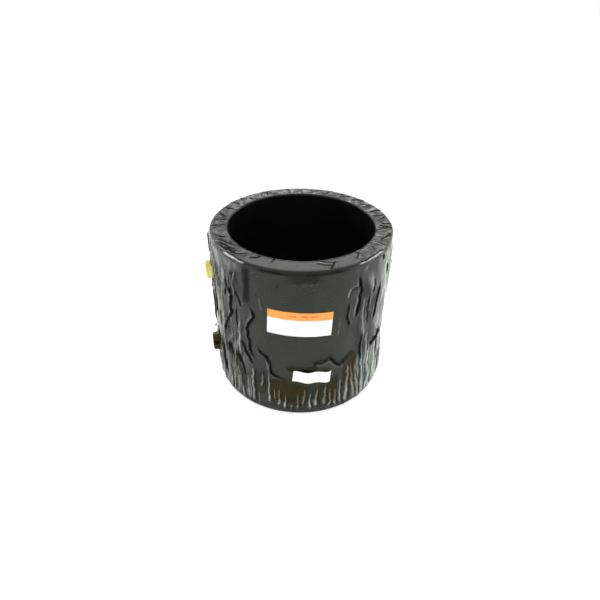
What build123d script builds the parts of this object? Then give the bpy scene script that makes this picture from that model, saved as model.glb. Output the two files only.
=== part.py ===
from build123d import *
import math
import os

os.makedirs("parts", exist_ok=True)

# Electrofusion pipe coupling in shrink film, in millimetres.
# The origin is the middle of the bore, at half length, where the two pipe ends meet.
# +Z runs along the bore, and both terminals point along -X.

# Sleeve
BORE_R = 85.0  # takes a pipe of 168.3 mm outside diameter
BODY_R = 105.0
HALF_LENGTH = 101.0
STOP_BORE_R = 81.0
STOP_HALF = 3.0
MOUTH_CHAMFER = 1.5
STOP_CHAMFER = 0.6
RIM_RADIUS = 2.0
BOSS_TOP_R = 105.8  # distance of every boss's top from the bore axis

# Heating wire, one winding from terminal to terminal
WIRE_R = 0.5
WIRE_RING_R = 86.2
WIRE_TURNS = 12
WIRE_ZONE = (14.0, 54.0)  # distances from mid-length, cold beyond both
WIRE_GAP = 0.05  # where stretches of wire and the pins' feet are welded end to side

# Terminals
TERMINAL_Z = 54.0
TERMINAL_BOSS_R = 10.0
PIN_R = 2.35
PIN_FOOT_R = WIRE_RING_R + WIRE_R + WIRE_GAP
PIN_TIP_R = 108.5
PIN_TIP_CHAMFER = 0.6
PIN_COLLAR_R = 4.5
PIN_COLLAR_THICK = 1.5
SHROUD_FOOT_R = 93.5
SHROUD_FLOOR = 2.5
SHROUD_TIP_R = 110.5
SHROUD_TIP_CHAMFER = 0.4
SHROUD_R = 8.0
SHROUD_BORE_R = 6.4
SEAT_GAP = 0.05  # between an insert and the hole it is pushed into

# Terminal caps
CAP_SKIRT_R = 106.6
CAP_ROOF_R = 111.0
CAP_TIP_R = 114.0
CAP_BORE_R = 8.2
CAP_R = 10.3
CAP_FLANGE_R = 11.3
CAP_FLANGE_THICK = 1.4
CAP_CROWN_RADIUS = 1.6
CAP_RIBS = 16
CAP_RIB_R = 0.6
CAP_SPIGOT_FOOT_R = 100.0  # the spigot plugs the shroud and clears the pin
CAP_SPIGOT_R = 6.2
CAP_SPIGOT_BORE_R = 3.6

# Fusion indicators
INDICATOR_Z = 34.0
INDICATOR_R = 2.3
INDICATOR_WELL_R = 2.5
INDICATOR_BOSS_R = 4.2
INDICATOR_FOOT_R = 89.4
INDICATOR_TIP_R = 104.6
INDICATOR_TIP_RADIUS = 0.5
WELL_FLOOR_R = 89.0

# Shrink film
FILM_GAP = 0.3
FILM_THICK = 0.3
FILM_HOLE_R = 85.2
FILM_TERMINAL_HOLE_R = 12.6
FILM_INDICATOR_HOLE_R = 5.4

# Labels: width round the sleeve, height, angle from +X, middle's height, clockwise tilt
LABEL_THICK = 0.18
LABEL_GAP = 0.02
MAIN_LABEL = (70.2, 31.5, -104.4, 35.2, 2.5)
LOT_LABEL = (43.8, 15.8, -96.5, -41.1, 6.0)

SIDES = {"upper": 1, "lower": -1}


def facing_minus_x(distance, height):
    """Plane that faces -X, at a distance from the bore axis."""
    return Plane(origin=(-distance, 0, height), x_dir=(0, 1, 0), z_dir=(-1, 0, 0))


def plug(low, high, height, radius, mode=Mode.ADD):
    """Round plug along -X, between two distances from the bore axis."""
    with BuildSketch(facing_minus_x(low, height)) as section:
        Circle(radius)
    extrude(section.sketch, amount=high - low, mode=mode)


def rims(part, radius, height):
    """Both circular edges of a radius at a distance above and below mid-length."""
    circles = part.edges().filter_by(GeomType.CIRCLE)
    return circles.filter_by(
        lambda e: abs(e.radius - radius) < 0.01 and abs(abs(e.center().Z) - height) < 0.01
    )


def save(builder, name):
    """Label a finished sub-part and write its STEP file."""
    builder.part.label = name
    export_step(builder.part, f"parts/{name}.step")


def make_coupling_body():
    """Sleeve with a socket at each end, a stop between them, and the terminal holes."""
    with BuildPart() as coupling_body:
        with BuildSketch(Plane.XZ):
            with BuildLine():
                Polyline(
                    (BORE_R, HALF_LENGTH),
                    (BODY_R, HALF_LENGTH),
                    (BODY_R, -HALF_LENGTH),
                    (BORE_R, -HALF_LENGTH),
                    (BORE_R, -STOP_HALF),
                    (STOP_BORE_R, -STOP_HALF),
                    (STOP_BORE_R, STOP_HALF),
                    (BORE_R, STOP_HALF),
                    close=True,
                )
            make_face()
        revolve(axis=Axis.Z)
        fillet(rims(coupling_body, BODY_R, HALF_LENGTH), RIM_RADIUS)
        chamfer(rims(coupling_body, BORE_R, HALF_LENGTH), MOUTH_CHAMFER)
        chamfer(rims(coupling_body, STOP_BORE_R, STOP_HALF), STOP_CHAMFER)
        for side in SIDES.values():
            terminal_z = side * TERMINAL_Z
            indicator_z = side * INDICATOR_Z
            plug(SHROUD_FOOT_R, BOSS_TOP_R, terminal_z, TERMINAL_BOSS_R)
            plug(SHROUD_FOOT_R, BOSS_TOP_R, indicator_z, INDICATOR_BOSS_R)
            plug(SHROUD_FOOT_R, BOSS_TOP_R, terminal_z, SHROUD_R + SEAT_GAP, Mode.SUBTRACT)
            plug(PIN_FOOT_R, BOSS_TOP_R, terminal_z, PIN_R + SEAT_GAP, Mode.SUBTRACT)
            plug(WELL_FLOOR_R, BOSS_TOP_R, indicator_z, INDICATOR_WELL_R, Mode.SUBTRACT)
    save(coupling_body, "coupling_body")


def make_heating_coil(name, start):
    """Stretch of wire wound round one socket, starting above the terminals' side."""
    low, high = WIRE_ZONE
    with BuildPart() as heating_coil:
        with BuildLine(Plane.XY.offset(start)):
            turns = Helix((high - low) / WIRE_TURNS, high - low, WIRE_RING_R)
        path = turns.rotate(Axis.Z, 180)
        with BuildSketch(Plane(origin=path @ 0, z_dir=path % 0)):
            Circle(WIRE_R)
        sweep(path=path, is_frenet=True)
    save(heating_coil, name)


def make_link_wire():
    """Straight stretch of the same wire, across the cold middle from coil to coil."""
    half = WIRE_ZONE[0] - WIRE_R - WIRE_GAP
    with BuildPart() as link_wire:
        with BuildSketch(Plane((-WIRE_RING_R, 0, -half))):
            Circle(WIRE_R)
        extrude(amount=2 * half)
    save(link_wire, "link_wire")


def make_contact_pin(name, height):
    """Terminal pin with the collar that seats it on the shroud's floor."""
    collar_foot = SHROUD_FOOT_R + SHROUD_FLOOR
    with BuildPart() as contact_pin:
        plug(PIN_FOOT_R, PIN_TIP_R, height, PIN_R)
        plug(collar_foot, collar_foot + PIN_COLLAR_THICK, height, PIN_COLLAR_R)
        chamfer(contact_pin.edges().sort_by(Axis.X)[0], PIN_TIP_CHAMFER)
    save(contact_pin, name)


def make_terminal_shroud(name, height):
    """Cup around a pin, open outwards."""
    with BuildPart() as terminal_shroud:
        plug(SHROUD_FOOT_R, SHROUD_TIP_R, height, SHROUD_R)
        plug(SHROUD_FOOT_R + SHROUD_FLOOR, SHROUD_TIP_R, height, SHROUD_BORE_R, Mode.SUBTRACT)
        plug(SHROUD_FOOT_R, SHROUD_TIP_R, height, PIN_R + SEAT_GAP, Mode.SUBTRACT)
        tip = terminal_shroud.faces().sort_by(Axis.X)[0]
        chamfer(tip.edges(), SHROUD_TIP_CHAMFER)
    save(terminal_shroud, name)


def make_terminal_cap(name, height):
    """Hood that pulls off a shroud, with a flange, grip ribs and a hollow spigot."""
    with BuildPart() as terminal_cap:
        plug(CAP_SKIRT_R, CAP_TIP_R, height, CAP_R)
        crown = terminal_cap.edges().sort_by(Axis.X)[0]
        fillet(crown, CAP_CROWN_RADIUS)
        with BuildSketch(facing_minus_x(CAP_SKIRT_R, height)):
            with PolarLocations(CAP_R, CAP_RIBS):
                Circle(CAP_RIB_R)
        extrude(amount=CAP_ROOF_R - CAP_SKIRT_R)
        plug(CAP_SKIRT_R, CAP_SKIRT_R + CAP_FLANGE_THICK, height, CAP_FLANGE_R)
        plug(CAP_SKIRT_R, CAP_ROOF_R, height, CAP_BORE_R, Mode.SUBTRACT)
        plug(CAP_SPIGOT_FOOT_R, CAP_ROOF_R, height, CAP_SPIGOT_R)
        plug(CAP_SPIGOT_FOOT_R, CAP_ROOF_R, height, CAP_SPIGOT_BORE_R, Mode.SUBTRACT)
    save(terminal_cap, name)


def make_fusion_indicator(name, height):
    """Pin that stands below its well's mouth until the melt pushes it out."""
    with BuildPart() as fusion_indicator:
        plug(INDICATOR_FOOT_R, INDICATOR_TIP_R, height, INDICATOR_R)
        fillet(fusion_indicator.edges().sort_by(Axis.X)[0], INDICATOR_TIP_RADIUS)
    save(fusion_indicator, name)


def make_film_wrap():
    """Film around the sleeve and over both end faces, open at the bore and the terminals."""
    inner_r = BODY_R + FILM_GAP
    inner_half = HALF_LENGTH + FILM_GAP
    outer_r = inner_r + FILM_THICK
    outer_half = inner_half + FILM_THICK
    with BuildPart() as film_wrap:
        with BuildSketch(Plane.XZ):
            with BuildLine():
                Polyline(
                    (FILM_HOLE_R, outer_half),
                    (outer_r, outer_half),
                    (outer_r, -outer_half),
                    (FILM_HOLE_R, -outer_half),
                    (FILM_HOLE_R, -inner_half),
                    (inner_r, -inner_half),
                    (inner_r, inner_half),
                    (FILM_HOLE_R, inner_half),
                    close=True,
                )
            make_face()
        revolve(axis=Axis.Z)
        fillet(rims(film_wrap, inner_r, inner_half), RIM_RADIUS + FILM_GAP)
        fillet(rims(film_wrap, outer_r, outer_half), RIM_RADIUS + FILM_GAP + FILM_THICK)
        for side in SIDES.values():
            plug(BORE_R, CAP_TIP_R, side * TERMINAL_Z, FILM_TERMINAL_HOLE_R, Mode.SUBTRACT)
            plug(BORE_R, CAP_TIP_R, side * INDICATOR_Z, FILM_INDICATOR_HOLE_R, Mode.SUBTRACT)
    save(film_wrap, "film_wrap")


def make_label(name, inner_r, shape):
    """Thin label bent round the sleeve."""
    width, tall, angle, middle, tilt = shape
    across = math.radians(angle)
    facing = Plane(
        origin=(0, 0, middle),
        x_dir=(-math.sin(across), math.cos(across), 0),
        z_dir=(math.cos(across), math.sin(across), 0),
    )
    with BuildPart() as label:
        with BuildSketch(Plane.XY.offset(middle - tall)):
            Circle(inner_r + LABEL_THICK)
            Circle(inner_r, mode=Mode.SUBTRACT)
        extrude(amount=2 * tall)
        with BuildSketch(facing):
            Rectangle(width, tall, rotation=-tilt)
        extrude(amount=inner_r + 2 * LABEL_THICK, mode=Mode.INTERSECT)
    save(label, name)


make_coupling_body()
make_heating_coil("heating_coil_upper", WIRE_ZONE[0])
make_heating_coil("heating_coil_lower", -WIRE_ZONE[1])
make_link_wire()
for side_name, side in SIDES.items():
    make_contact_pin(f"contact_pin_{side_name}", side * TERMINAL_Z)
    make_terminal_shroud(f"terminal_shroud_{side_name}", side * TERMINAL_Z)
    make_terminal_cap(f"terminal_cap_{side_name}", side * TERMINAL_Z)
    make_fusion_indicator(f"fusion_indicator_{side_name}", side * INDICATOR_Z)
make_film_wrap()
make_label("main_label", BODY_R + LABEL_GAP, MAIN_LABEL)
make_label("lot_label", BODY_R + FILM_GAP + FILM_THICK + LABEL_GAP, LOT_LABEL)
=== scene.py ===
import math

import bpy
import numpy as np
from mathutils import Matrix, Vector


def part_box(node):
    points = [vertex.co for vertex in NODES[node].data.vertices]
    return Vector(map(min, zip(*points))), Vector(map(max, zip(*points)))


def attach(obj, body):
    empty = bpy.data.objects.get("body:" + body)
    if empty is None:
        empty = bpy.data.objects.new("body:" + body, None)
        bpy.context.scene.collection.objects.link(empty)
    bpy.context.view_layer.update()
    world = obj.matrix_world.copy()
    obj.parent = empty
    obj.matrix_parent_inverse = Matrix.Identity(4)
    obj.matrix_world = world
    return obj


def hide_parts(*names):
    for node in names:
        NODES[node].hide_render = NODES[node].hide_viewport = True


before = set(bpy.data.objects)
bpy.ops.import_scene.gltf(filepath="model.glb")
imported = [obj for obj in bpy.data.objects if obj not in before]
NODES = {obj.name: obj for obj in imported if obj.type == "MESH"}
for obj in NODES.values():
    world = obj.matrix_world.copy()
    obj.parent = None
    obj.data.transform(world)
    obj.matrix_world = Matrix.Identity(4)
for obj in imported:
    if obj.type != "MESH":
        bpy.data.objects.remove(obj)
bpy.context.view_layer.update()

# Angles on the sleeve are counted from the side that faces the camera, positive to its right.
FACING = math.radians(-104.0)
LENS, SENSOR = 29.55, 36.0
TOWARDS_CAMERA = Vector((math.cos(FACING), math.sin(FACING), 0.0))
TO_RIGHT = Vector((-math.sin(FACING), math.cos(FACING), 0.0))


def make_camera():
    """The camera looks down at the labelled side of the sleeve."""
    down, roll = math.radians(35.32), 0.018
    distance, rise = 0.5143, 0.3578
    data = bpy.data.cameras.new("camera")
    data.lens, data.sensor_width = LENS, SENSOR
    data.clip_start, data.clip_end = 0.01, 50.0
    cam = bpy.data.objects.new("camera", data)
    bpy.context.scene.collection.objects.link(cam)
    look = -TOWARDS_CAMERA * math.cos(down) - Vector((0, 0, math.sin(down)))
    place = TOWARDS_CAMERA * distance + Vector((0, 0, rise))
    turn = look.to_track_quat("-Z", "Y").to_matrix().to_4x4()
    cam.matrix_world = Matrix.Translation(place) @ turn @ Matrix.Rotation(roll, 4, "Z")
    bpy.context.scene.camera = cam


make_camera()

# ---------------------------------------------------------------- node helpers


class Shade:
    """A node material with one Principled shader and short calls for the nodes that feed it."""

    def __init__(self, name):
        self.mat = bpy.data.materials.new(name)
        self.mat.use_nodes = True
        self.nt = self.mat.node_tree
        self.nt.nodes.clear()
        self.out = self.nt.nodes.new("ShaderNodeOutputMaterial")
        self.bsdf = self.nt.nodes.new("ShaderNodeBsdfPrincipled")
        self.link(self.bsdf.outputs[0], self.out.inputs[0])

    def link(self, a, b):
        self.nt.links.new(a, b)

    def put(self, socket, value):
        """Links an output to a socket, or sets the socket's own value."""
        if isinstance(value, bpy.types.NodeSocket):
            self.link(value, socket)
        else:
            socket.default_value = value

    def set(self, **values):
        for key, value in values.items():
            self.put(self.bsdf.inputs[key.replace("_", " ")], value)

    def math(self, op, a, b=0.0, clamp=False):
        n = self.nt.nodes.new("ShaderNodeMath")
        n.operation = op
        n.use_clamp = clamp
        self.put(n.inputs[0], a)
        self.put(n.inputs[1], b)
        return n.outputs[0]

    def attribute(self, name):
        n = self.nt.nodes.new("ShaderNodeAttribute")
        n.attribute_name = name
        return n.outputs["Fac"]

    def place(self):
        return self.nt.nodes.new("ShaderNodeTexCoord").outputs["Object"]

    def radius(self):
        """Distance from the bore axis in metres."""
        at = self.nt.nodes.new("ShaderNodeSeparateXYZ")
        self.link(self.place(), at.inputs[0])
        x, y = (self.math("POWER", at.outputs[i], 2.0) for i in (0, 1))
        return self.math("SQRT", self.math("ADD", x, y))

    def label_uv(self):
        """Places across and up a label, from 0 to 1."""
        at = self.nt.nodes.new("ShaderNodeSeparateXYZ")
        self.link(self.nt.nodes.new("ShaderNodeTexCoord").outputs["UV"], at.inputs[0])
        return at.outputs[0], at.outputs[1]

    def stretched(self, scale):
        n = self.nt.nodes.new("ShaderNodeMapping")
        n.inputs["Scale"].default_value = scale
        self.link(self.place(), n.inputs["Vector"])
        return n.outputs[0]

    def noise(self, scale, detail=3.0, rough=0.5, vector=None):
        n = self.nt.nodes.new("ShaderNodeTexNoise")
        n.inputs["Scale"].default_value = scale
        n.inputs["Detail"].default_value = detail
        n.inputs["Roughness"].default_value = rough
        self.link(vector or self.place(), n.inputs["Vector"])
        return n.outputs["Fac"]

    def wave(self, scale, distortion, direction):
        n = self.nt.nodes.new("ShaderNodeTexWave")
        n.bands_direction = direction
        n.inputs["Scale"].default_value = scale
        n.inputs["Distortion"].default_value = distortion
        self.link(self.place(), n.inputs["Vector"])
        return n.outputs["Fac"]

    def span(self, value, low, high, to_low=0.0, to_high=1.0):
        n = self.nt.nodes.new("ShaderNodeMapRange")
        n.clamp = True
        self.put(n.inputs[0], value)
        for i, x in enumerate((low, high, to_low, to_high)):
            n.inputs[i + 1].default_value = x
        return n.outputs[0]

    def mix(self, share, a, b):
        n = self.nt.nodes.new("ShaderNodeMix")
        n.data_type = "RGBA"
        self.put(n.inputs[0], share)
        self.put(n.inputs[6], a)
        self.put(n.inputs[7], b)
        return n.outputs[2]

    def over(self, share, colour, rough, specular):
        """Puts a duller Principled shader over the first one, by share."""
        dull = self.nt.nodes.new("ShaderNodeBsdfPrincipled")
        self.put(dull.inputs["Base Color"], colour)
        dull.inputs["Roughness"].default_value = rough
        dull.inputs["Specular IOR Level"].default_value = specular
        both = self.nt.nodes.new("ShaderNodeMixShader")
        self.put(both.inputs[0], share)
        self.link(self.bsdf.outputs[0], both.inputs[1])
        self.link(dull.outputs[0], both.inputs[2])
        self.link(both.outputs[0], self.out.inputs[0])

    def bump(self, height, strength, distance):
        n = self.nt.nodes.new("ShaderNodeBump")
        n.inputs["Strength"].default_value = strength
        n.inputs["Distance"].default_value = distance
        self.link(height, n.inputs["Height"])
        self.link(n.outputs[0], self.bsdf.inputs["Normal"])


def rgb(r, g, b):
    return (r, g, b, 1.0)


# ---------------------------------------------------------------- materials


def black_polyethylene():
    """Black pipe-grade polyethylene with a dull sheen outside, and painted shade in the bore: a darker,
    duller colour there.
    """
    s = Shade("black_polyethylene")
    cloud = s.noise(26.0, 2.0)
    # Painted shade in the bore: a darker colour and a weaker sheen inside it.
    inside = s.span(s.radius(), 0.0853, 0.0863, 1.0, 0.0)
    colour = s.mix(s.span(cloud, 0.3, 0.7), rgb(0.0035, 0.0042, 0.0035), rgb(0.0065, 0.0078, 0.0062))
    s.set(Base_Color=colour, Roughness=s.span(cloud, 0.3, 0.7, 0.26, 0.34), IOR=1.39)
    bore_shade = s.mix(s.span(cloud, 0.3, 0.7), rgb(0.0012, 0.0014, 0.0012), rgb(0.0026, 0.0030, 0.0026))
    s.over(s.math("MULTIPLY", inside, 0.85), bore_shade, rough=0.4, specular=0.12)
    s.bump(s.noise(110.0, 2.0), strength=0.05, distance=0.0006)
    return s.mat


def clear_film():
    """Clear shrink film, with painted highlights as a milky tint on its folds, painted shade in its
    creases and brown where it is doubled.
    """
    s = Shade("clear_film")
    streaks = s.noise(160.0, 3.0, 0.5, s.stretched((1.0, 1.0, 0.12)))
    ripple = s.noise(80.0, 1.0, 0.5, s.stretched((1.0, 1.0, 0.15)))
    cloud = s.noise(34.0, 2.0)
    # Painted highlight: where the folds catch the light, the film turns a milky white and is less
    # see-through.
    highlight_share = s.math("MULTIPLY", s.attribute("painted_highlight"), s.span(streaks, 0.25, 0.75, 0.6, 1.2), True)
    painted_shade = s.attribute("painted_shade")
    brown = s.math("MULTIPLY", s.attribute("brown"), s.span(streaks, 0.3, 0.7, 0.45, 1.0), True)
    clear = s.attribute("clear")
    tint = s.mix(s.span(cloud, 0.3, 0.7), rgb(0.020, 0.034, 0.010), rgb(0.032, 0.050, 0.020))
    tint = s.mix(highlight_share, tint, rgb(0.62, 0.66, 0.61))
    rest = s.span(clear, 0.0, 1.0, 0.30, 0.04)
    alpha = s.math("MINIMUM", s.math("ADD", rest, s.math("MULTIPLY", highlight_share, 0.74)), 0.97)
    s.set(Base_Color=tint, Alpha=alpha, Roughness=s.span(ripple, 0.2, 0.8, 0.12, 0.20), IOR=1.39)
    # Painted shade: a near-black, dull layer over the creases; brown where the film is doubled.
    shade = s.mix(brown, rgb(0.0012, 0.0014, 0.0011), rgb(0.044, 0.028, 0.004))
    share = s.math("ADD", s.math("MULTIPLY", painted_shade, 1.05), s.math("MULTIPLY", brown, 0.86), True)
    s.over(share, shade, rough=0.6, specular=0.03)
    s.bump(ripple, strength=0.10, distance=0.0006)
    return s.mat


def bars(s, across, up, rows):
    """Share of ink for printed bars: each row is (low, high) up the label, then (start, end) runs."""
    ink = 0.0
    for low, high, runs in rows:
        for start, end in runs:
            inside = s.math("GREATER_THAN", across, start)
            inside = s.math("MULTIPLY", inside, s.math("LESS_THAN", across, end))
            inside = s.math("MULTIPLY", inside, s.math("GREATER_THAN", up, low))
            inside = s.math("MULTIPLY", inside, s.math("LESS_THAN", up, high))
            ink = s.math("MAXIMUM", ink, inside)
    return ink


def label_stock():
    """Label with an orange band over a white field and plain bars in place of print."""
    s = Shade("label_stock")
    across, up = s.label_uv()
    mottle = s.noise(240.0, 3.0)
    paper = s.mix(s.span(mottle, 0.3, 0.7), rgb(0.80, 0.81, 0.80), rgb(0.88, 0.88, 0.87))
    orange = s.mix(s.span(mottle, 0.3, 0.7), rgb(0.96, 0.30, 0.035), rgb(1.0, 0.37, 0.060))
    heavy_rows = [(0.80, 0.885, [(0.33, 0.44), (0.51, 0.62), (0.64, 0.76)])]
    light_rows = [(0.44, 0.465, [(0.38, 0.50), (0.74, 0.86)]), (0.33, 0.350, [(0.40, 0.47)])]
    heavy = bars(s, across, up, heavy_rows)
    light = bars(s, across, up, light_rows)
    worn = s.math("MULTIPLY", heavy, s.span(mottle, 0.35, 0.65, 0.35, 0.9))
    orange = s.mix(worn, orange, rgb(0.74, 0.13, 0.03))
    paper = s.mix(s.math("MULTIPLY", light, 0.45), paper, rgb(0.30, 0.31, 0.36))
    edge = s.math("ADD", 0.675, s.math("MULTIPLY", s.math("SUBTRACT", mottle, 0.5), 0.012))
    s.set(Base_Color=s.mix(s.math("GREATER_THAN", up, edge), paper, orange))
    s.set(Roughness=s.span(mottle, 0.3, 0.7, 0.32, 0.46))
    s.bump(s.noise(700.0, 2.0), strength=0.15, distance=0.0002)
    return s.mat


def lot_label_stock():
    """Small white label with faint plain bars in place of print."""
    s = Shade("lot_label_stock")
    across, up = s.label_uv()
    mottle = s.noise(300.0, 3.0)
    paper = s.mix(s.span(mottle, 0.3, 0.7), rgb(0.88, 0.88, 0.87), rgb(0.95, 0.95, 0.95))
    rows = [(0.60, 0.66, [(0.10, 0.44), (0.50, 0.66)]), (0.40, 0.45, [(0.10, 0.58)])]
    ink = bars(s, across, up, rows)
    s.set(Base_Color=s.mix(s.math("MULTIPLY", ink, 0.22), paper, rgb(0.35, 0.36, 0.38)))
    s.set(Roughness=s.span(mottle, 0.3, 0.7, 0.35, 0.5))
    s.bump(s.noise(700.0, 2.0), strength=0.15, distance=0.0002)
    return s.mat


def plastic(name, shade, deep, rough):
    """Moulded plastic with slow colour change and a fine spark-eroded grain."""
    s = Shade(name)
    cloud = s.noise(90.0, 3.0)
    s.set(Base_Color=s.mix(s.span(cloud, 0.3, 0.7), deep, shade))
    s.set(Roughness=s.span(cloud, 0.3, 0.7, rough - 0.06, rough + 0.06))
    s.bump(s.noise(700.0, 2.0), strength=0.2, distance=0.0002)
    return s.mat


def metal(name, shade, deep, rough, lines):
    """Drawn or turned metal with fine lines and a little tarnish."""
    s = Shade(name)
    tarnish = s.noise(400.0, 4.0)
    s.set(Base_Color=s.mix(s.span(tarnish, 0.35, 0.7), shade, deep), Metallic=1.0)
    s.set(Roughness=s.span(tarnish, 0.3, 0.7, rough - 0.07, rough + 0.10))
    s.bump(s.wave(lines, 0.4, "X"), strength=0.15, distance=0.00005)
    return s.mat


YELLOW, DEEP_YELLOW = rgb(1.0, 0.93, 0.30), rgb(0.97, 0.86, 0.20)
BLACK, DEEP_BLACK = rgb(0.012, 0.012, 0.012), rgb(0.007, 0.007, 0.007)
GREY, DEEP_GREY = rgb(0.30, 0.31, 0.31), rgb(0.24, 0.25, 0.25)
BRASS, DEEP_BRASS = rgb(0.83, 0.62, 0.30), rgb(0.52, 0.36, 0.16)
STEEL, DEEP_STEEL = rgb(0.60, 0.56, 0.52), rgb(0.36, 0.33, 0.31)
MATERIALS = {
    "black_polyethylene": black_polyethylene(),
    "clear_film": clear_film(),
    "label_stock": label_stock(),
    "lot_label_stock": lot_label_stock(),
    "yellow_cap_plastic": plastic("yellow_cap_plastic", YELLOW, DEEP_YELLOW, rough=0.42),
    "shroud_plastic": plastic("shroud_plastic", BLACK, DEEP_BLACK, rough=0.45),
    "indicator_plastic": plastic("indicator_plastic", GREY, DEEP_GREY, rough=0.45),
    "contact_brass": metal("contact_brass", BRASS, DEEP_BRASS, rough=0.26, lines=900.0),
    "resistance_wire": metal("resistance_wire", STEEL, DEEP_STEEL, rough=0.34, lines=500.0),
}

for node in NODES.values():
    for slot in node.material_slots:
        slot.material = MATERIALS[slot.material.name.split(".")[0]]

# ---------------------------------------------------------------- film shape, in millimetres

WALL_R, END_Z, HOLE_R, CORNER_R = 105.35, 101.35, 85.3, 2.4
PROFILE_REACH = 122.0
LOWEST, HIGHEST, HIGHEST_BELOW = -0.08, 4.5, 0.15
SLEEVE_LABEL_R, LABEL_THICK, LOT_LABEL_GAP = 105.04, 0.16, 0.06
FLOOR_Z = -0.1018
CAP_FILM_SIZE, CAP_FILM_R = 30, 12.3
PER_DEGREE = WALL_R * math.pi / 180
TERMINALS = [(-76.0, 54.0, 12.6), (-76.0, -54.0, 12.6), (-76.0, 34.0, 5.4), (-76.0, -34.0, 5.4)]


def on_end(radius):
    """Where a radius on the upper end face lies along the film's profile."""
    return END_Z + WALL_R - radius


# Creases: half-width, height, painted shade, painted highlight, which side is lit, then (angle, place
# on the profile).
CREASES = [
    (1.6, 2.2, 1.0, 0.35, -1, [(-46, 58), (-44, 50), (-46, 37), (-45, 28), (-52, 9), (-55, -12)]),
    (1.4, 1.6, 1.0, 0.25, 1, [(-41, 62), (-38, 51), (-37, 44)]),
    (1.5, 2.0, 1.0, 0.30, -1, [(-30, 47), (-28, 37), (-33, 17), (-32, 2), (-31, -15), (-29, -24)]),
    (1.5, 1.8, 1.0, 0.25, -1, [(-38, -4), (-36, -11), (-34, -22), (-30, -34)]),
    (1.5, 1.6, 0.9, 0.40, 1, [(-74, 84), (-72, 68), (-68, 43), (-67, 20), (-67, -6)]),
    (2.2, 2.0, 0.9, 0.20, 1, [(-60, -31), (-59, -56), (-57, -78)]),
    (4.2, 0.8, 0.42, 0.00, 1, [(-32, 99), (-32, 75), (-33, 50)]),
    (1.5, 2.2, 1.0, 0.45, -1, [(36, 86), (37, 67), (36, 49), (35, 32)]),
    (1.2, 0.8, 0.2, 0.60, -1, [(37, 73), (31, 71), (30, 67), (29, 60)]),
    (1.4, 2.0, 1.0, 0.40, -1, [(56, 60), (54, 44), (52, 31), (52, 16)]),
    (2.2, 2.6, 1.0, 0.30, 1, [(64, -10), (61, -15), (56, -20), (51, -24)]),
    (1.6, 2.0, 0.9, 0.20, -1, [(-26, -6), (-24, -12), (-20, -15), (-18, -28), (-17, -39), (-10, -45)]),
    (1.8, 2.2, 1.0, 0.25, -1,
     [(9, -27), (10, -20), (15, -22), (19, -16), (23, -24), (27, -30), (31, -24), (37, -13)]),
    (1.8, 2.6, 1.0, 0.00, 1, [(-8, -27.5), (-1, -29.5), (6, -30.0), (12, -27.5)]),
    (1.3, 1.0, 0.7, 0.20, 1, [(-50, 72), (-49, 60), (-52, 44)]),
    (1.3, 1.0, 0.7, 0.20, 1, [(-40, 40), (-41, 22), (-39, 6)]),
    (1.3, 1.0, 0.6, 0.30, -1, [(45, 58), (44, 38), (46, 14)]),
    (1.2, 0.9, 0.6, 0.20, 1, [(30, 56), (29, 40), (31, 22)]),
    (1.4, 1.2, 0.8, 0.10, 1, [(-42, -25), (-38, -40), (-36, -58)]),
    (1.4, 1.2, 0.8, 0.10, 1, [(-50, -18), (-50, -34), (-47, -52)]),
    (1.3, 1.2, 0.8, 0.20, 1, [(42, 4), (41, -16), (43, -36)]),
    (0.9, 0.3, 0.0, 0.16, 1, [(-7, 85), (2, 84.6), (11, 85)]),
    (2.0, 2.4, 1.0, 0.10, 1, [(-80, 100), (-79, 71)]),
    (2.0, 2.4, 1.0, 0.10, 1, [(-78, 38), (-77, 4), (-76, -24)]),
    (1.4, 1.8, 1.0, 0.20, -1, [(64, 78), (64, 72), (63, 66)]),
    (1.3, 1.4, 0.8, 0.20, -1, [(56, 96), (57, 90)]),
    (2.4, 1.2, 1.0, 0.10, 1, [(-49, -20), (-47, -36)]),
    (2.0, 1.2, 1.0, 0.10, 1, [(-41, -22), (-39, -40)]),
    (2.8, 0.5, 0.45, 0.00, 1, [(-43, 86), (-42, 64)]),
    (2.8, 1.0, 1.0, 0.00, 1, [(-47, 61), (-45, 54)]),
]
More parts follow.
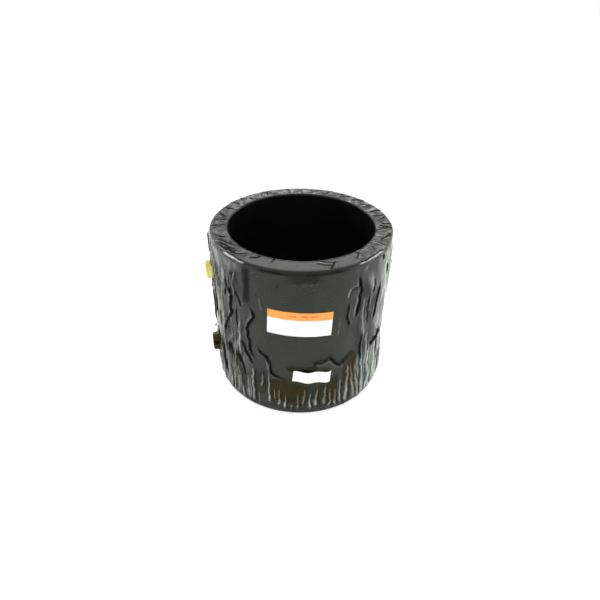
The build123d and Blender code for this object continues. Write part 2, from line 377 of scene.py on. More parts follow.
# Pleats with a painted highlight: half-width at the start and at the end, height, painted highlight,
# then (angle, place) points.
PLEATS = [
    (0.7, 1.0, 1.3, 0.42, [(-44, -4), (-45, -53)]),
    (0.8, 1.6, 1.5, 0.50, [(-44, -52), (-41, -79)]),
    (0.7, 1.6, 1.3, 0.40, [(-43, -45), (-39, -79), (-38, -98)]),
    (0.8, 1.8, 1.6, 0.48, [(-30, -36), (-30, -92)]),
    (0.8, 1.5, 1.3, 0.40, [(-32.5, -55), (-32, -89)]),
    (0.6, 0.9, 1.0, 0.55, [(-20.6, -22), (-20, -32)]),
    (0.6, 0.9, 1.0, 0.50, [(-18.6, -22), (-18.7, -31)]),
    (0.7, 1.6, 1.4, 0.48, [(-19, -39), (-19, -73), (-18.6, -86)]),
    (0.7, 1.3, 1.2, 0.35, [(-23, -42), (-24, -64)]),
    (0.6, 1.8, 1.2, 0.40, [(-12, -60), (-12, -86)]),
    (0.5, 1.6, 1.2, 0.46, [(4, -57), (3.5, -84)]),
    (0.5, 2.0, 1.4, 0.44, [(12.5, -58), (11, -88)]),
    (0.6, 2.2, 1.5, 0.46, [(18, -55), (17, -87)]),
    (0.6, 2.2, 1.5, 0.44, [(24, -62), (24.5, -95)]),
    (0.8, 2.6, 1.8, 0.48, [(32, -25), (33, -70), (32, -100)]),
    (0.8, 2.4, 1.6, 0.42, [(34, -26), (37, -65), (39.5, -96)]),
    (0.9, 2.0, 1.8, 0.44, [(46, 12), (47.5, -36), (47.5, -92)]),
    (0.9, 2.0, 1.6, 0.42, [(54, -20), (53, -59), (52, -98)]),
    (0.9, 2.2, 1.6, 0.44, [(60, -31), (63, -100)]),
    (0.7, 0.5, 0.8, 0.26, [(24, 39), (24, 15)]),
    (0.7, 0.5, 0.8, 0.34, [(-23, 64), (-23, 48)]),
    (0.8, 0.7, 1.0, 0.34, [(-47, 80), (-47, 67)]),
    (0.8, 0.7, 1.0, 0.34, [(-40, 85), (-42, 71)]),
    (1.3, 1.0, 1.6, 0.34, [(-56, 84), (-60, 29)]),
    (1.5, 1.2, 1.6, 0.50, [(-71, 101), (-69, 88), (-67, 60), (-67, 44)]),
    (1.6, 1.4, 1.2, 0.46, [(-68, 98), (-65.5, 80), (-64, 52)]),
    (1.0, 1.2, 1.0, 0.34, [(-64, 84), (-62, 60), (-62, 36)]),
    (1.6, 2.2, 1.4, 0.42, [(-53, 30), (-57, -6), (-55, -40)]),
    (1.2, 1.8, 1.3, 0.40, [(-38, 30), (-39, -2), (-40, -30)]),
    (1.2, 2.0, 1.3, 0.34, [(-48, -30), (-46, -60), (-48, -95)]),
    (1.4, 2.0, 1.2, 0.30, [(-64, -40), (-62, -70), (-60, -98)]),
    (1.2, 1.6, 1.2, 0.30, [(41, 60), (40, 36), (42, 10)]),
    (1.2, 2.4, 1.2, 0.30, [(42, -40), (42, -70), (43, -98)]),
    (2.0, 2.4, 1.6, 0.50, [(60, 96), (62, 60), (60, 30)]),
    (1.2, 1.4, 1.4, 0.50, [(73, 100), (74, 70), (73, 40)]),
    (1.2, 1.5, 1.2, 0.46, [(77, 96), (77.5, 60), (76, 24)]),
    (1.0, 1.2, 1.0, 0.38, [(69.5, 96), (70, 74), (69, 44)]),
    (2.0, 2.4, 1.6, 0.40, [(66, 40), (64, 0), (66, -30)]),
    (1.8, 2.6, 1.6, 0.40, [(70, -20), (70, -60), (71, -99)]),
    (0.9, 0.9, 0.4, 0.80, [(-52, 101.2), (-42, 101.2), (-33, 101.2)]),
    (0.9, 0.9, 0.4, 0.80, [(33, 101.2), (44, 101.2), (56, 101.2)]),
    (0.5, 1.2, 1.0, 0.34, [(-4, -84), (-4, -99)]),
    (0.5, 2.4, 1.6, 0.50, [(38, -30), (40, -60), (43, -99)]),
    (0.5, 2.4, 1.6, 0.50, [(43, -14), (45, -50), (47, -99)]),
    (0.6, 2.6, 1.6, 0.52, [(50, -8), (51, -50), (56, -99)]),
    (0.6, 2.6, 1.6, 0.50, [(58, 0), (59, -40), (61, -80)]),
    (0.6, 2.4, 1.4, 0.50, [(66, -24), (67, -60), (67, -99)]),
    (0.5, 1.8, 1.2, 0.50, [(28, -48), (28, -72), (29, -99)]),
    (0.5, 1.4, 1.0, 0.46, [(8, -63), (7.6, -92)]),
    (0.5, 1.6, 1.0, 0.46, [(-8.5, -68), (-8, -92)]),
    (0.5, 1.4, 1.0, 0.46, [(0, -66), (0, -90)]),
    (0.5, 1.4, 1.0, 0.46, [(-15, -62), (-15.4, -80)]),
    (0.5, 1.8, 1.2, 0.46, [(21, -60), (21, -96)]),
    (0.6, 2.2, 1.4, 0.46, [(-52, -50), (-50, -76), (-52, -99)]),
    (0.6, 2.2, 1.4, 0.46, [(-34, -52), (-34, -80), (-33, -99)]),
    (0.5, 1.2, 1.0, 0.34, [(-26, -74), (-26, -98)]),
    (0.5, 1.4, 1.0, 0.34, [(-36, -70), (-35, -98)]),
]
# Creases on the upper end face: half-width, height, painted shade, painted highlight, lit side, (angle,
# radius).
END_CREASES = [
    (1.3, 1.2, 1.0, 0.30, 1, [(-84, 105), (-84, 96), (-85, 86)]),
    (1.1, 1.0, 0.9, 0.30, 1, [(-92, 101), (-93, 94), (-95, 87)]),
    (1.1, 1.0, 0.9, 0.30, -1, [(-121, 104), (-124, 97), (-123, 90)]),
    (1.1, 1.0, 0.9, 0.25, 1, [(-131, 103), (-129, 95)]),
    (1.1, 1.0, 0.8, 0.25, 1, [(-149, 104), (-152, 96), (-151, 89)]),
    (1.2, 1.2, 1.0, 0.35, 1, [(85, 104), (87, 96), (88, 88)]),
    (1.2, 1.2, 1.0, 0.35, -1, [(91, 105), (91, 97), (93, 91)]),
    (1.2, 1.2, 1.0, 0.35, 1, [(105, 104), (104, 97), (106, 88)]),
    (1.1, 1.0, 0.9, 0.30, 1, [(156, 103), (159, 96), (161, 89)]),
    (1.1, 1.0, 0.9, 0.45, -1, [(-74, 101), (-68, 96), (-66, 90)]),
    (1.1, 1.0, 0.9, 0.45, 1, [(-58, 103), (-53, 99), (-44, 99)]),
    (1.1, 1.0, 0.9, 0.40, -1, [(-47, 102), (-41, 97), (-38, 90)]),
    (1.2, 1.1, 1.0, 0.30, 1, [(-112, 101), (-112, 88)]),
    (1.2, 1.1, 1.0, 0.30, -1, [(-102, 98), (-100, 92)]),
    (1.0, 1.2, 0.8, 0.35, 1, [(-66, 100), (-60, 94), (-55, 92), (-50, 88)]),
    (1.0, 1.2, 0.8, 0.30, -1, [(-62, 103), (-57, 97), (-50, 95), (-45, 96)]),
    (0.9, 1.0, 0.8, 0.30, 1, [(-54, 100), (-50, 97), (-46, 90)]),
    (1.3, 1.2, 1.2, 0.20, 1, [(-33, 96), (-30, 93), (-28, 87)]),
    (1.0, 0.8, 1.2, 0.25, 1, [(-18.5, 94), (-18, 85.5)]),
    (1.0, 1.0, 0.8, 0.30, 1, [(96, 89), (100, 96), (103, 103)]),
    (1.2, 1.1, 1.0, 0.30, -1, [(80, 86), (83, 92), (86, 99)]),
    (1.2, 1.1, 1.0, 0.30, 1, [(67, 94), (72, 98), (78, 102)]),
    (1.2, 1.1, 1.0, 0.30, -1, [(111, 88), (112, 96), (113, 105)]),
    (1.0, 1.0, 0.7, 0.25, 1, [(-136, 96), (-138, 88), (-140, 86)]),
    (0.9, 1.0, 0.6, 0.35, 1, [(10, 92), (14, 95), (19, 98)]),
    (0.9, 1.0, 0.6, 0.35, -1, [(13, 88), (18, 91), (25, 96)]),
    (1.1, 1.2, 0.9, 0.20, 1, [(17, 103), (20, 97), (22, 92)]),
    (0.9, 1.0, 0.7, 0.35, 1, [(-106, 102), (-100, 96), (-98, 90)]),
    (0.9, 1.0, 0.7, 0.35, -1, [(-94, 103), (-96, 94), (-99, 87)]),
    (1.2, 1.1, 1.0, 0.35, 1, [(118, 102), (124, 96), (128, 89)]),
    (1.2, 1.1, 1.0, 0.35, -1, [(130, 103), (134, 97), (137, 90)]),
    (0.9, 1.0, 0.8, 0.30, 1, [(141, 102), (144, 96), (149, 90)]),
    (0.9, 1.0, 0.7, 0.30, 1, [(36, 97), (40, 92), (43, 88)]),
]
# Torn tabs that stand up from the wall: angle, place, radius, height.
TABS = [
    (-79.0, -33.0, 2.6, 3.6),
    (80.5, -70.0, 2.4, 3.4),
    (79.0, 66.0, 2.2, 2.6),
    (-13.0, 82.0, 1.7, 0.3),
    (-26.0, 66.0, 1.5, 0.3),
]
# Brown places where the film is doubled: lowest and highest angle, lowest and highest place, strength.
BROWN = [
    (-18, -6, -80, -44, 0.90),
    (-9, 5, -86, -49, 1.00),
    (3, 15, -80, -56, 0.60),
    (13, 26, -90, -46, 0.95),
    (29, 39, -66, -18, 0.85),
    (-30, -18, -78, -40, 0.45),
    (26, 46, -90, -60, 0.40),
    (-58, -40, -60, -22, 0.30),
]


def smooth(x):
    x = np.clip(x, 0.0, 1.0)
    return x * x * (3 - 2 * x)


def lattice(u, v, across, up, seed):
    """Smooth random field from 0 to 1. u and v run from 0 to 1: once round, and along the profile."""
    grid = np.random.default_rng(seed).random((across, up + 2))
    a, b = (u % 1.0) * across, np.clip(v, 0, 1) * up
    i, j = np.floor(a).astype(int), np.floor(b).astype(int)
    s, t = smooth(a - i), smooth(b - j)
    i0, i1 = i % across, (i + 1) % across
    low = grid[i0, j] * (1 - s) + grid[i1, j] * s
    high = grid[i0, j + 1] * (1 - s) + grid[i1, j + 1] * s
    return low * (1 - t) + high * t


def near_line(x, y, points):
    """Signed distance to a line of points, and how far along it, from 0 to 1."""
    pts = [np.array((a * PER_DEGREE, t)) for a, t in points]
    lengths = [np.linalg.norm(b - a) for a, b in zip(pts, pts[1:])]
    best = np.full(x.shape, 1e9)
    signed, along, done = np.zeros(x.shape), np.zeros(x.shape), 0.0
    for a, b, length in zip(pts, pts[1:], lengths):
        d = (b - a) / length
        s = np.clip((x - a[0]) * d[0] + (y - a[1]) * d[1], 0, length)
        px, py = x - a[0] - s * d[0], y - a[1] - s * d[1]
        dist = np.hypot(px, py)
        closer = dist < best
        best = np.where(closer, dist, best)
        signed = np.where(closer, np.sign(py * d[0] - px * d[1]) * dist, signed)
        along = np.where(closer, (done + s) / sum(lengths), along)
        done += length
    return signed, along


def random_lines(seed):
    """Smaller creases and pleats, thick at the sides and back and absent from the smooth front."""
    rng = np.random.default_rng(seed)
    creases, pleats = [], []
    for _ in range(320):
        a = rng.uniform(-180, 180)
        t = rng.uniform(-70, 92)
        size, sway = rng.uniform(8, 38), rng.uniform(-4, 4)
        kind, side = rng.random(), rng.choice((-1, 1))
        if abs(a) < 34 or (abs(a) < 82 and rng.random() < 0.72):
            continue
        line = [(a, t), (a + sway * 0.7, t - size * 0.5), (a + sway * 0.3, max(t - size, -99))]
        if kind < 0.5:
            width, tall = rng.uniform(0.9, 1.5), rng.uniform(0.5, 1.5)
            painted_shade, light = rng.uniform(0.25, 0.8), rng.uniform(0.1, 0.3)
            creases.append((width, tall, painted_shade, light, side, line))
        else:
            width, tall, light = rng.uniform(0.7, 2.0), rng.uniform(0.5, 1.4), rng.uniform(0.15, 0.36)
            pleats.append((0.7, width, tall, light, line))
    for _ in range(90):
        a, t, size = rng.uniform(82, 278), rng.uniform(-30, 96), rng.uniform(30, 90)
        a = (a + 180) % 360 - 180
        middle, foot = a + rng.uniform(-2, 2), a + rng.uniform(-2, 2)
        line = [(a, t), (middle, t - size / 2), (foot, max(t - size, -99))]
        width, tall, light = rng.uniform(0.6, 1.1), rng.uniform(0.5, 1.2), rng.uniform(0.2, 0.42)
        pleats.append((0.5, width, tall, light, line))
    for a in np.arange(74, 290, 5.5):
        a = (a + rng.uniform(-2.5, 2.5) + 180) % 360 - 180
        top = rng.uniform(-80, -20)
        width, tall, light = rng.uniform(1.2, 2.6), rng.uniform(1.0, 1.8), rng.uniform(0.28, 0.5)
        pleats.append((0.6, width, tall, light, [(a, top), (a + rng.uniform(-2, 2), -99)]))
    ends = []
    for a in np.arange(-178, 180, 11.0):
        a += rng.uniform(-3, 3)
        r0, r1 = rng.uniform(96, 105), rng.uniform(86, 92)
        if abs(a) < 36:
            continue
        tall, painted_shade, light = rng.uniform(0.3, 1.1), rng.uniform(0.15, 0.6), rng.uniform(0.05, 0.3)
        side = rng.choice((-1, 1))
        ends.append((0.9, tall, painted_shade, light, side, [(a, r0), (a + rng.uniform(-3, 3), r1)]))
    return creases, pleats, ends


MORE_CREASES, MORE_PLEATS, MORE_ENDS = random_lines(seed=7)


def around(x, y, points, reach):
    """Which of the places x, y lie within reach of the box round a line of points."""
    xs = [a * PER_DEGREE for a, _ in points]
    ys = [t for _, t in points]
    near = (x > min(xs) - reach) & (x < max(xs) + reach)
    return np.nonzero(near & (y > min(ys) - reach) & (y < max(ys) + reach))


def add_creases(x, y, height, painted_highlight, painted_shade):
    """Each crease is a valley with painted shade, a ridge on the side away from the camera and an edge
    with a painted highlight.
    """
    ends = []
    for width, tall, deep, light, side, points in END_CREASES + MORE_ENDS:
        line = [(a, on_end(r)) for a, r in sorted(points, key=lambda point: point[1])]
        ends.append((1.1 * width, 0.45 * tall, deep, light, side, line))
    for width, tall, deep, light, side, points in CREASES + MORE_CREASES + ends:
        at = around(x, y, points, 5 * width + 3)
        signed, along = near_line(x[at], y[at], points)
        taper = 0.25 + 0.75 * smooth(np.minimum(along, 1 - along) / 0.16)
        middle = points[len(points) // 2][0]
        far = side if abs(middle) < 15 else math.copysign(1, middle)
        height[at] += tall * taper * np.exp(-(((signed - far * width) / (1.1 * width)) ** 2))
        height[at] -= 0.35 * tall * taper * np.exp(-((signed / (0.7 * width)) ** 2))
        crease_shade = np.minimum(1.0, 1.5 * deep * taper) * np.exp(-((np.abs(signed) / width) ** 3))
        painted_shade[at] = np.maximum(painted_shade[at], crease_shade)
        lit = light * taper * np.exp(-(((signed - side * 1.7 * width) / (0.7 * width)) ** 2))
        painted_highlight[at] = np.maximum(painted_highlight[at], lit)


def add_pleats(x, y, height, painted_highlight, painted_shade):
    """Each pleat is a ridge with a painted highlight and a line of painted shade beside it."""
    for start, end, tall, light, points in PLEATS + MORE_PLEATS:
        at = around(x, y, points, 3 * max(start, end) + 3)
        signed, along = near_line(x[at], y[at], points)
        width = start + (end - start) * along
        taper = smooth(np.minimum(along / 0.2, (1.02 - along) / 0.06))
        height[at] += tall * taper * np.exp(-((signed / (1.2 * width)) ** 2))
        lit = 1.75 * light * taper * np.exp(-(((signed + 0.4 * width) / (0.85 * width)) ** 2))
        painted_highlight[at] = np.maximum(painted_highlight[at], lit)
        shade = 1.2 * light * taper * np.exp(-(((signed - 1.7 * width) / (0.9 * width)) ** 2))
        painted_shade[at] = np.maximum(painted_shade[at], shade)


def brown_places(angle, place, u, v):
    """How brown the film is: the listed places, with ragged edges, and a faint band low on the back."""
    brown = np.zeros(angle.shape)
    ragged = 14 * (lattice(u, v, 80, 14, 4) - 0.5)
    for a0, a1, t0, t1, strength in BROWN:
        inside = smooth((angle - a0) / 3 + 0.5) * smooth((a1 - angle) / 3 + 0.5)
        inside = inside * smooth((place + ragged - t0) / 7 + 0.5)
        inside = inside * smooth((t1 - place - ragged) / 5 + 0.5)
        brown = np.maximum(brown, strength * inside)
    back = smooth((np.abs(angle) - 60) / 25) * smooth((-38 - place + ragged) / 10)
    back = back * smooth((place + 92) / 10)
    return np.maximum(brown, 0.55 * back * lattice(u, v, 60, 12, 5))


def slack_film(angle, place, u, v, height, painted_highlight, painted_shade):
    """Waves, fine unevenness, and bands of painted highlight and painted shade where the film is slack,
    off the front, with broad painted highlights on both sides.
    """
    loose = 0.12 + 0.88 * smooth((np.abs(angle) - 26) / 20)
    on_wall = smooth((END_Z - 2 - np.abs(place)) / 6)
    low = smooth((-40 - place) / 20)
    waves = lattice(u, v, 46, 7, 6) * 0.9 + lattice(u, v, 130, 22, 7) * 0.5
    height = height + waves * on_wall * (loose + 0.35 * low)
    fine = (lattice(u, v, 340, 60, 8) - 0.5) * 0.22
    off_front = smooth((np.abs(angle) - 28) / 10)
    height = height + fine * np.maximum(loose - 0.12, 0.9 * (1 - on_wall) * off_front)
    cheek = smooth((np.abs(angle) - 30) / 14) * on_wall
    bands = lattice(u + 0.02 * (lattice(u, v, 30, 12, 14) - 0.5), v, 96, 9, 9)
    far_side = smooth((np.abs(angle) - 66) / 20)
    threads = 0.45 + 0.75 * lattice(u, v, 250, 9, 17)
    painted_highlight = np.maximum(painted_highlight, (0.40 - 0.08 * far_side) * cheek * threads * smooth((bands - 0.54) / 0.28))
    valley_shade = (0.34 + 0.12 * far_side) * cheek * smooth((0.46 - bands) / 0.34)
    painted_shade = np.maximum(painted_shade, valley_shade * (1 - 0.8 * smooth(painted_highlight / 0.4)))
    # Painted highlights from the side lights, broad on the left and right of the wall.
    left_highlight = smooth((-angle - 54) / 12) * smooth((place + 10) / 40)
    side_highlight = 0.72 * smooth((angle - 44) / 24) + 0.58 * left_highlight
    side_highlight = side_highlight * (1 - 0.7 * far_side) * on_wall * (0.55 + 0.6 * lattice(u, v, 70, 5, 15))
    painted_highlight = np.maximum(painted_highlight, side_highlight * (1 - 0.9 * smooth(painted_shade / 0.5)))
    return height, painted_highlight, painted_shade


def end_faces(angle, place, u, v, painted_highlight, painted_shade):
    """Painted highlights and painted shade mottling the end faces, stronger at the back and on the
    right, and painted shadow in the seam and below the upper rim.
    """
    rings = lattice(u, v, 210, 60, 10)
    on_end_face = smooth((np.abs(place) - END_Z) / 2)
    behind, round_side = smooth((np.abs(angle) - 90) / 50), smooth((np.abs(angle) - 26) / 20)
    mottled = round_side * smooth((rings - 0.45) / 0.4) + 0.30 * (1 - round_side)
    right = smooth((angle - 30) / 30) * smooth((150 - angle) / 40)
    painted_highlight = np.maximum(painted_highlight, (0.20 + 0.30 * behind + 0.16 * right) * on_end_face * mottled)
    pit_shade = round_side * on_end_face * smooth((0.42 - rings) / 0.34)
    painted_shade = np.maximum(painted_shade, (0.40 - 0.25 * right) * pit_shade)
    shadow_below_rim = smooth((angle + 12) / 8) * smooth((16 - angle) / 8)
    shadow_below_rim = shadow_below_rim * smooth((place - 82) / 8) * smooth((99 - place) / 2)
    painted_shade = np.maximum(painted_shade, 0.34 * shadow_below_rim * (0.5 + 0.5 * lattice(u, v, 40, 10, 11)))
    seam_shadow = smooth((place - 95) / 3) * smooth((100.5 - place) / 2) * smooth((34 - np.abs(angle)) / 16)
    painted_shade = np.maximum(painted_shade, 0.85 * seam_shadow * (0.6 + 0.5 * lattice(u, v, 50, 12, 16)))
    return painted_highlight, painted_shade


def film_fields(angle, place):
    """Height above the sleeve in mm, how much painted highlight and painted shade the film has, and how
    brown and clear it is.
    """
    u, v = (angle + 180) / 360, (place + PROFILE_REACH) / (2 * PROFILE_REACH)
    x = angle * PER_DEGREE + 2.4 * (lattice(u, v, 90, 40, 1) - 0.5)
    x = x + 1.0 * (lattice(u, v, 260, 110, 2) - 0.5)
    y = place + 2.0 * (lattice(u, v, 90, 40, 3) - 0.5)
    on_wall = smooth((END_Z - 2 - np.abs(place)) / 6)
    height, painted_highlight, painted_shade = (np.zeros(angle.shape) for _ in range(3))
    add_creases(x, y, height, painted_highlight, painted_shade)
    add_pleats(x, y, height, painted_highlight, painted_shade)
    brown = brown_places(angle, place, u, v)
    height, painted_highlight, painted_shade = slack_film(angle, place, u, v, height, painted_highlight, painted_shade)
    painted_highlight, painted_shade = end_faces(angle, place, u, v, painted_highlight, painted_shade)

    # The lowest edge is clear, and the film lies flat over the labels.
    hem = smooth((-88 - place) / 5) * smooth((46 - np.abs(angle)) / 10)
    painted_highlight = painted_highlight * (1 - 0.85 * hem)

    label = smooth((angle + 22) / 3) * smooth((22 - angle) / 3)
    label = label * smooth((place - 16) / 3) * smooth((54 - place) / 3)
    height = height * (1 - 0.9 * label)
    painted_highlight, painted_shade = painted_highlight * (1 - 0.8 * label), painted_shade * (1 - label)
    lot = smooth((angle + 8) / 6) * smooth((23 - angle) / 6)
    lot = lot * smooth((place + 56) / 8) * smooth((-28 - place) / 4)
    swell = 1.6 + 1.1 * np.sin((angle - 2) / 21 * 2 * math.pi * 1.6) + 0.7 * np.sin(place / 5.0)
    height = height * (1 - 0.85 * lot) + lot * swell

    # Folds at the rims, torn tabs with painted shade round them, and the rolled edges round the
    # terminals with a painted highlight on them.
    height += 0.7 * smooth((place - END_Z + 8) / 6) + 0.4 * smooth((-END_Z + 10 - place) / 6) * on_wall
    for a, t, radius, tall in TABS:
        near = np.exp(-((np.hypot((angle - a) * PER_DEGREE, place - t) / radius) ** 2))
        height += tall * near
        painted_shade = np.maximum(painted_shade, 0.9 * smooth((near - 0.25) / 0.4))
    for a, t, radius in TERMINALS:
        far = np.hypot((angle - a) * PER_DEGREE, place - t)
        height += 1.2 * np.exp(-(((far - radius - 1.2) / 1.6) ** 2))
        painted_highlight = np.maximum(painted_highlight, 0.45 * np.exp(-(((far - radius - 1.0) / 1.0) ** 2)))
    under = smooth((-END_Z - 1 - place) / 4)
    height = np.clip(height, LOWEST, HIGHEST)
    height = height * (1 - under) + np.clip(height, LOWEST, HIGHEST_BELOW) * under
    return height, np.clip(painted_highlight, 0, 1), np.clip(painted_shade, 0, 1), brown, label


def film_point(angle, place, height):
    """Points in metres on the film's profile, raised along its normal."""
    p = np.abs(place)
    turn = np.clip((p - END_Z + CORNER_R) / (2 * CORNER_R), 0, 1) * math.pi / 2
    corner = WALL_R - CORNER_R + CORNER_R * np.cos(turn)
    radius = np.where(p > END_Z + CORNER_R, WALL_R - (p - END_Z), corner)
    z = np.where(p < END_Z - CORNER_R, p, END_Z - CORNER_R + CORNER_R * np.sin(turn))
    radius = radius + height * np.cos(turn)
    z = (z + height * np.sin(turn)) * np.sign(place)
    phi = np.radians(angle) + FACING
    return np.stack([radius * np.cos(phi), radius * np.sin(phi), z], -1) * 0.001


def paint(piece, name, values):
    """Stores one number per vertex for the film's material to read."""
    layer = piece.data.attributes.new(name, "FLOAT", "POINT")
    layer.data.foreach_set("value", values.astype(np.float32))


def mesh_object(name, points, faces, material):
    mesh = bpy.data.meshes.new(name)
    mesh.from_pydata(points.tolist(), [], faces)
    mesh.materials.append(material)
    mesh.polygons.foreach_set("use_smooth", np.ones(len(mesh.polygons), bool))
    made = bpy.data.objects.new(name, mesh)
    bpy.context.scene.collection.objects.link(made)
    mesh.update()
    return made


def make_film():
    """The shrink film as one sheet, over the wall, round both rims and across both end faces."""
    columns = 680
    tip = on_end(HOLE_R)
    places = np.concatenate(
        [
            np.linspace(-tip, -END_Z - CORNER_R, 7)[:-1],
            np.linspace(-END_Z - CORNER_R, -END_Z + CORNER_R, 6)[:-1],
            np.linspace(-END_Z + CORNER_R, END_Z - CORNER_R, 108)[:-1],
            np.linspace(END_Z - CORNER_R, END_Z + CORNER_R, 6)[:-1],
            np.linspace(END_Z + CORNER_R, tip, 15),
        ]
    )
    angle, place = np.meshgrid(np.arange(columns) * 360 / columns - 180, places)
    angle, place = angle.ravel(), place.ravel()
    height, painted_highlight, painted_shade, brown, label = film_fields(angle, place)
    inside = np.zeros(len(angle), bool)
    for a, t, radius in TERMINALS:
        dx, dy = (angle - a) * PER_DEGREE, place - t
        far = np.hypot(dx, dy)
        here = far < radius
        push = radius / np.maximum(far, 1e-6)
        angle = np.where(here, a + dx * push / PER_DEGREE, angle)
        place = np.where(here, t + dy * push, place)
        inside |= here
    points = film_point(angle, place, height)
    rows = len(places)
    i, j = np.meshgrid(np.arange(rows - 1), np.arange(columns), indexing="ij")
    k = (j + 1) % columns
    low, high = i * columns, (i + 1) * columns
    quads = np.stack([low + j, low + k, high + k, high + j], -1).reshape(-1, 4)
    quads = quads[inside[quads].sum(1) < 3]
    used, renamed = np.unique(quads, return_inverse=True)
    faces = renamed.reshape(-1, 4).tolist()
    film = mesh_object("shrink_film", points[used], faces, MATERIALS["clear_film"])
    for name, values in (("painted_highlight", painted_highlight), ("painted_shade", painted_shade), ("brown", brown), ("clear", label)):
        paint(film, name, values[used])
    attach(film, "sleeve")
    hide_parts("film_wrap")


def make_cap_film(name, node, body, painted_highlight, painted_shade, brown):
    """The scrap of film that clings to a terminal cap and comes off with it."""
    low, high = (Vector(c) * 1000 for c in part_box(node))
    middle, tip, reach = (low.z + high.z) / 2, -low.x, (high.z - low.z) / 2
    profile = [(0.0, 0.25), (3.5, 0.3), (6.5, 0.25), (8.8, 0.15), (10.2, -0.4), (11.0, -1.5)]
    profile += [(11.1, -3.0), (11.2, -4.5), (11.5, -5.6), (11.75, -6.6), (11.9, -7.4), (12.1, -8.0)]
    around, rows = 72, len(profile)
    turn, k = np.meshgrid(np.arange(around) / around, np.arange(rows))
    turn, k = turn.ravel(), k.ravel()
    radius = np.array([r for r, _ in profile])[k] * reach / 11.3
    out = np.array([d for _, d in profile])[k] + tip
    cos, sin = np.cos(turn * 2 * math.pi), np.sin(turn * 2 * math.pi)
    across, up = 0.5 + radius * cos / CAP_FILM_SIZE, 0.5 + radius * sin / CAP_FILM_SIZE
    rough = lattice(across, up, 9, 7, 21) + 0.5 * lattice(across, up, 20, 16, 22)
    radius = np.minimum(radius + 0.22 * rough * (radius > 5), CAP_FILM_R)
    out = out - np.where(k == rows - 1, 1.2 * lattice(turn, k / rows, 18, 2, 23), 0) + 0.15 * rough
    points = np.stack([-out, radius * cos, radius * sin + middle], -1) * 0.001
    i, j = np.meshgrid(np.arange(1, rows - 1), np.arange(around), indexing="ij")
    n, m = (i * around + j).ravel(), (i * around + (j + 1) % around).ravel()
    faces = np.stack([n, m, m + around, n + around], -1).tolist()
    faces += [[0, around + (c + 1) % around, around + c] for c in range(around)]
    used, renamed = np.unique(np.concatenate([np.array(f) for f in faces]), return_inverse=True)
    ends = np.cumsum([len(f) for f in faces])
    faces = [part.tolist() for part in np.split(renamed, ends[:-1])]
    scrap = mesh_object(name, points[used], faces, MATERIALS["clear_film"])
    patchy = lattice(across, up, 8, 6, 24)[used]
    # Painted highlight and painted shade on the scrap, patchy across it.
    paint(scrap, "painted_highlight", np.clip(painted_highlight * (0.6 + 0.6 * patchy), 0, 1))
    paint(scrap, "painted_shade", np.clip(painted_shade * (0.5 + patchy), 0, 1))
    paint(scrap, "brown", np.full(patchy.shape, brown))
    paint(scrap, "clear", np.full(patchy.shape, 0.9))
    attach(scrap, body)


def make_label(name, node, slot, middle, size, tilt, columns, rows, lift):
    """A label as a thin closed sheet that stands off the film's profile by what lift gives."""
    width, tall = size
    a, b = np.meshgrid(np.linspace(-0.5, 0.5, columns), np.linspace(-0.5, 0.5, rows))
    a, b = a.ravel(), b.ravel()
    x, y = a * width, b * tall
    turn = math.radians(-tilt)
    angle = middle[0] + (x * math.cos(turn) - y * math.sin(turn)) / PER_DEGREE
    place = middle[1] + x * math.sin(turn) + y * math.cos(turn)
    low = lift(angle, place)
    count = len(a)
    sides = [film_point(angle, place, low), film_point(angle, place, low + LABEL_THICK)]
    points = np.concatenate(sides)
    i, j = np.meshgrid(np.arange(rows - 1), np.arange(columns - 1), indexing="ij")
    n = (i * columns + j).ravel()
    top = np.stack([n, n + 1, n + columns + 1, n + columns], -1) + count
    faces = top.tolist() + (top[:, ::-1] - count).tolist()
    bottom, right = list(range(columns)), [r * columns + columns - 1 for r in range(rows)]
    upper = [(rows - 1) * columns + c for c in range(columns)][::-1]
    left = [r * columns for r in range(rows)][::-1]
    rim = bottom + right[1:] + upper[1:] + left[1:-1]
    faces += [[p, q, q + count, p + count] for p, q in zip(rim, rim[1:] + rim[:1])]
    made = mesh_object(name, points, faces, MATERIALS[slot])
    uv = made.data.uv_layers.new(name="label")
    flat = np.tile(np.stack([a + 0.5, b + 0.5], -1), (2, 1))
    corner = np.zeros(len(made.data.loops), int)
    made.data.loops.foreach_get("vertex_index", corner)
    uv.data.foreach_set("uv", flat[corner].astype(np.float32).ravel())
    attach(made, "sleeve")
    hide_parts(node)


make_film()
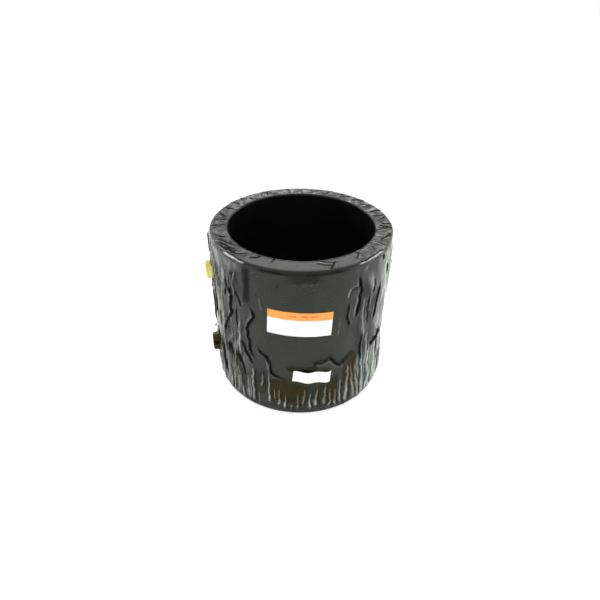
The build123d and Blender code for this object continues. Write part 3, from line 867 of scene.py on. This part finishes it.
# The upper scrap gets a painted highlight; the lower scrap gets painted shade with a brown tint.
make_cap_film(
    "cap_film_upper", "terminal_cap_upper", "cap_upper",
    painted_highlight=0.16, painted_shade=0.0, brown=0.0,
)
make_cap_film(
    "cap_film_lower", "terminal_cap_lower", "cap_lower",
    painted_highlight=0.05, painted_shade=0.55, brown=0.35,
)
make_label(
    "printed_label", "main_label", "label_stock",
    middle=(0.1, 35.2), size=(71.2, 31.5), tilt=2.5, columns=90, rows=42,
    lift=lambda angle, place: np.full(angle.shape, SLEEVE_LABEL_R - WALL_R),
)
make_label(
    "white_lot_label", "lot_label", "lot_label_stock",
    middle=(8.3, -40.3), size=(43.8, 15.8), tilt=6.0, columns=80, rows=30,
    lift=lambda angle, place: film_fields(angle, place)[0] + LOT_LABEL_GAP,
)

# ---------------------------------------------------------------- floor, light and world


def make_stage():
    """A plain white floor and soft studio light."""
    bpy.ops.mesh.primitive_plane_add(size=8.0, location=(0, 0, FLOOR_Z))
    floor = bpy.context.object
    floor.name = "floor"
    s = Shade("floor_white")
    s.set(Base_Color=rgb(0.9, 0.9, 0.9), Roughness=0.9, Emission_Color=rgb(1, 1, 1))
    s.set(Emission_Strength=s.span(s.radius(), 0.095, 0.105, 0.0, 0.55))
    floor.data.materials.append(s.mat)
    world = bpy.data.worlds.new("white_world")
    world.use_nodes = True
    world.node_tree.nodes["Background"].inputs[0].default_value = rgb(1, 1, 1)
    world.node_tree.nodes["Background"].inputs[1].default_value = 1.0
    bpy.context.scene.world = world


def make_light(name, across, back, up, size, radiance):
    """A soft rectangular light aimed at the sleeve, placed from the camera's side of it."""
    data = bpy.data.lights.new(name, "AREA")
    data.shape = "RECTANGLE"
    data.size, data.size_y = size
    data.energy = radiance * math.pi * size[0] * size[1]
    lamp = bpy.data.objects.new(name, data)
    bpy.context.scene.collection.objects.link(lamp)
    place = TO_RIGHT * across - TOWARDS_CAMERA * back + Vector((0, 0, up))
    turn = (-place).to_track_quat("-Z", "Y").to_matrix().to_4x4()
    lamp.matrix_world = Matrix.Translation(place) @ turn
    lamp.visible_camera = False


make_stage()
make_light("light_behind", across=0.0, back=1.3, up=1.1, size=(1.8, 0.9), radiance=1.9)
make_light("light_left", across=-1.1, back=0.75, up=0.35, size=(0.4, 1.3), radiance=4.0)
make_light("light_right", across=1.1, back=0.75, up=0.35, size=(0.4, 1.3), radiance=4.0)

view = bpy.context.scene.view_settings
view.view_transform = "Standard"
view.look = "None"
